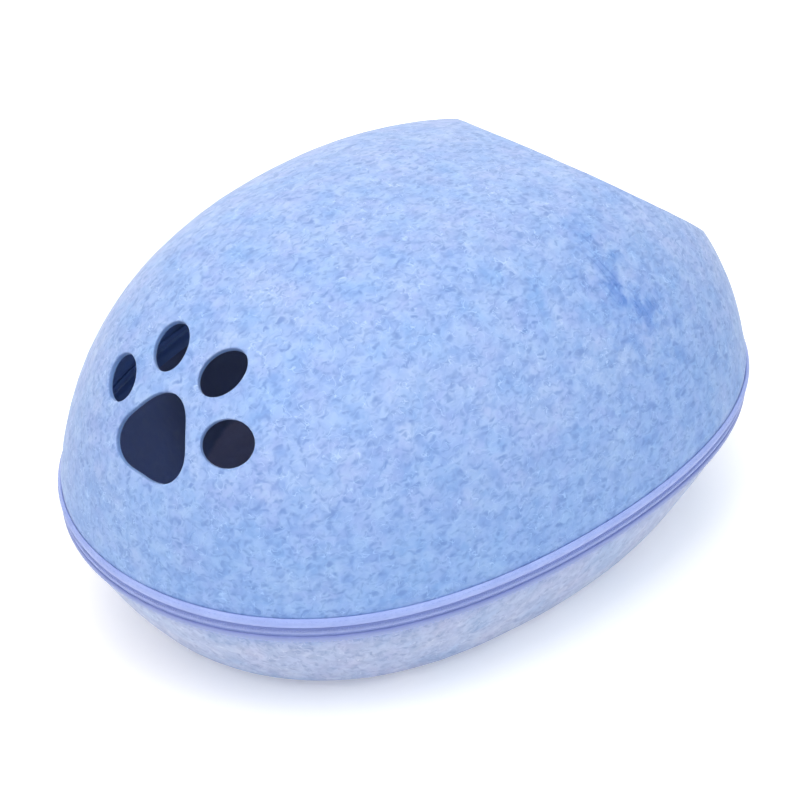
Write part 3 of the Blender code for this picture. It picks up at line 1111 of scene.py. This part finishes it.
coil = {
    "pitch": 0.00078,
    "middle": 0.0790,
    "height": 0.0031,
    "depth": 0.0020,
    "width": 0.00066,
    "outward": 0.0002,
    "offset": 0.00022,  # alternate turns come from the upper and the lower tape
    # shares of a turn's size: where it bends, how far its ends dip back, and its rounded edges
    "bend": 0.22,
    "dip": 0.62,
    "rounding": 0.26,
    "roundFrom": math.radians(25),
    "relief": (0.2, 0.00005),
    "colour": (0.375, 0.455, 0.800, 1),
    "shade": (0.275, 0.345, 0.700, 1),
}


def buildZipTape():
    rows = np.linspace(zipTape["low"], zipTape["high"], zipTape["rows"])
    front = [(zipTape["face"], z) for z in rows]
    back = [(zipTape["face"] - zipTape["thickness"], z) for z in rows[::-1]]
    section = np.array(front + back)
    section[:, 1] -= binding["upperFold"]
    middle = zipTape["face"] - zipTape["thickness"] / 2
    return sweepTape("zip_tape_band", section, upperPlace, 5.0, middle)


def zipMaterial():
    material, shader, place = startMaterial("zip_tape", *zipTape["sheen"])
    along, across = tapeWays(place)
    alongPitch, acrossPitch = zipTape["twillPitches"]
    twill = (along * (2 * math.pi / alongPitch) + across * (2 * math.pi / acrossPitch)).ribs()
    worn = place.noise(300.0, 2.0, 0.6)
    # darker in the twill's grooves, painted shade, and in worn spots
    colour = (twill * 0.6 + worn * 0.4).blend(zipTape["shade"], zipTape["base"])
    colour = place.attribute("inside").blend(colour, zipTape["inside"])
    dress(shader, colour, 0.62 + worn * 0.15, twill, *zipTape["relief"])
    return material


def coilMaterial():
    material, shader, place = startMaterial("zip_coil")
    fine, broad = place.noise(900.0, 1.0), place.noise(45.0)
    share = fine.eased(0.35, 0.70) * 0.3 + broad.eased(0.4, 0.7) * 0.2
    colour = share.blend(coil["colour"], coil["shade"])
    dress(shader, colour, 0.34 + fine * 0.12, fine, *coil["relief"])
    return material


def cutAcross(places, way):
    # cuts through the model in edit mode, square to a way
    for place in places:
        bpy.ops.mesh.select_all(action="SELECT")
        bpy.ops.mesh.bisect(plane_co=place, plane_no=way)
    bpy.ops.object.mode_set(mode="OBJECT")


def copiesOf(model, name, origins, alongs, outwards, ups):
    # one mesh of many copies of a small model: its X along, Y outwards and Z up
    points = np.array([point.co for point in model.data.vertices])
    faces = [list(face.vertices) for face in model.data.polygons]
    axes = np.stack([alongs, outwards, ups], 1)
    placed = origins[:, None, :] + np.einsum("pk,nkc->npc", points, axes)
    firsts = (np.arange(len(origins)) * len(points))[:, None, None]
    allFaces = []
    for size in sorted({len(face) for face in faces}):
        group = np.array([face for face in faces if len(face) == size])
        allFaces += (group[None] + firsts).reshape(-1, size).tolist()
    piece = addMesh(name, placed.reshape(-1, 3), allFaces)
    bpy.data.objects.remove(model, do_unlink=True)
    return piece


def modelTurn():
    # one turn of the coil, a bar that arches over the closed edge
    bpy.ops.object.select_all(action="DESELECT")
    bpy.ops.mesh.primitive_cube_add(size=1)
    turn = bpy.context.object
    turn.scale = (coil["width"], coil["depth"], coil["height"])
    bpy.ops.object.transform_apply(location=False, rotation=False, scale=True)
    bpy.ops.object.mode_set(mode="EDIT")
    cutAcross([(0, 0, side * coil["height"] * coil["bend"]) for side in (1, -1)], (0, 0, 1))
    for corner in turn.data.vertices:
        if abs(corner.co.z) > coil["height"] * 0.4 and corner.co.y > 0:
            corner.co.y -= coil["depth"] * coil["dip"]
    rounder = turn.modifiers.new("rounder", "BEVEL")
    rounder.width = coil["width"] * coil["rounding"]
    rounder.segments = 1
    rounder.limit_method = "ANGLE"
    rounder.angle_limit = coil["roundFrom"]
    bpy.ops.object.modifier_apply(modifier="rounder")
    return turn


def rimPlaces(pitch):
    # evenly spaced places on the rim, with the ways along it and outwards
    _, length = rimAngles(4)
    count = int(round(length / pitch / 2)) * 2
    angles, _ = rimAngles(count)
    outward = np.concatenate([rimOutward(angles), np.zeros((count, 1))], -1)
    up = np.tile([0.0, 0.0, 1.0], (count, 1))
    return angles, np.cross(outward, up), outward, up


def buildCoil():
    angles, along, outward, up = rimPlaces(coil["pitch"])
    shift = np.where(np.arange(len(angles)) % 2, 1, -1) * coil["offset"]
    flat = rimFlat(angles) + outward[:, :2] * coil["outward"]
    origins = np.concatenate([flat, (coil["middle"] + shift)[:, None]], -1)
    return copiesOf(modelTurn(), "zip_coil", origins, along, outward, up)


settle(buildZipTape(), zipMaterial(), "zip_tape", "zip_closure")
zipCoil = settle(buildCoil(), coilMaterial(), "zip_tape", "zip_closure")
print("zip closed:", len(zipCoil.data.polygons), "faces in its coil")


# Stitches: one row through each binding, in thread of the tape's own colour

stitch = {
    "pitch": 0.0034,
    "length": 0.0026,
    "thread": 0.00021,
    "sides": 6,
    "cuts": (-0.36, -0.18, 0.0, 0.18, 0.36),  # shares of its length
    "dip": 2.4,  # thread radii that the ends dip by
    "upperAlong": 0.0057,
    "lowerAlong": 0.0042,
    "sink": 0.00008,
    "sheen": (0.2, 0.4, (0.9, 0.92, 1.0, 1)),
    "relief": (0.3, 0.0001),
    "colour": (0.350, 0.440, 0.830, 1),
    "shade": (0.230, 0.310, 0.720, 1),
}


def modelStitch():
    # a short thread whose ends dip into the tape
    bpy.ops.object.select_all(action="DESELECT")
    radius, length = stitch["thread"], stitch["length"]
    bpy.ops.mesh.primitive_cylinder_add(vertices=stitch["sides"], radius=radius, depth=length)
    thread = bpy.context.object
    bpy.ops.object.mode_set(mode="EDIT")
    bpy.ops.mesh.select_all(action="SELECT")
    bpy.ops.transform.rotate(value=math.pi / 2, orient_axis="Y", center_override=(0, 0, 0))
    cutAcross([(share * length, 0, 0) for share in stitch["cuts"]], (1, 0, 0))
    for corner in thread.data.vertices:
        share = abs(corner.co.x) / length * 2
        corner.co.y -= radius * stitch["dip"] * share**3
    return thread


def threadMaterial():
    material, shader, place = startMaterial("sewing_thread", *stitch["sheen"])
    twist = place.noise(1500.0, 1.0)
    colour = twist.eased(0.35, 0.65).blend(stitch["shade"], stitch["colour"])
    dress(shader, colour, 0.5 + twist * 0.2, twist, *stitch["relief"])
    return material


def buildStitches(name, place, section, along):
    angles, tangent, outward, up = rimPlaces(stitch["pitch"])
    # the tape's outer face at the row's height
    face = section[np.abs(section[:, 1] - along) < 0.0005, 0].max()
    origins = place(angles, face - stitch["sink"], along)
    return copiesOf(modelStitch(), name, origins, tangent, outward, up)


threadLook = threadMaterial()
rows = (
    ("upper_binding_stitches", upperPlace, upperSection, stitch["upperAlong"]),
    ("lower_binding_stitches", lowerPlace, lowerSection, stitch["lowerAlong"]),
)
seams = [settle(buildStitches(*row), threadLook, "binding_tape") for row in rows]
print("stitches sewn")


print("scene built")
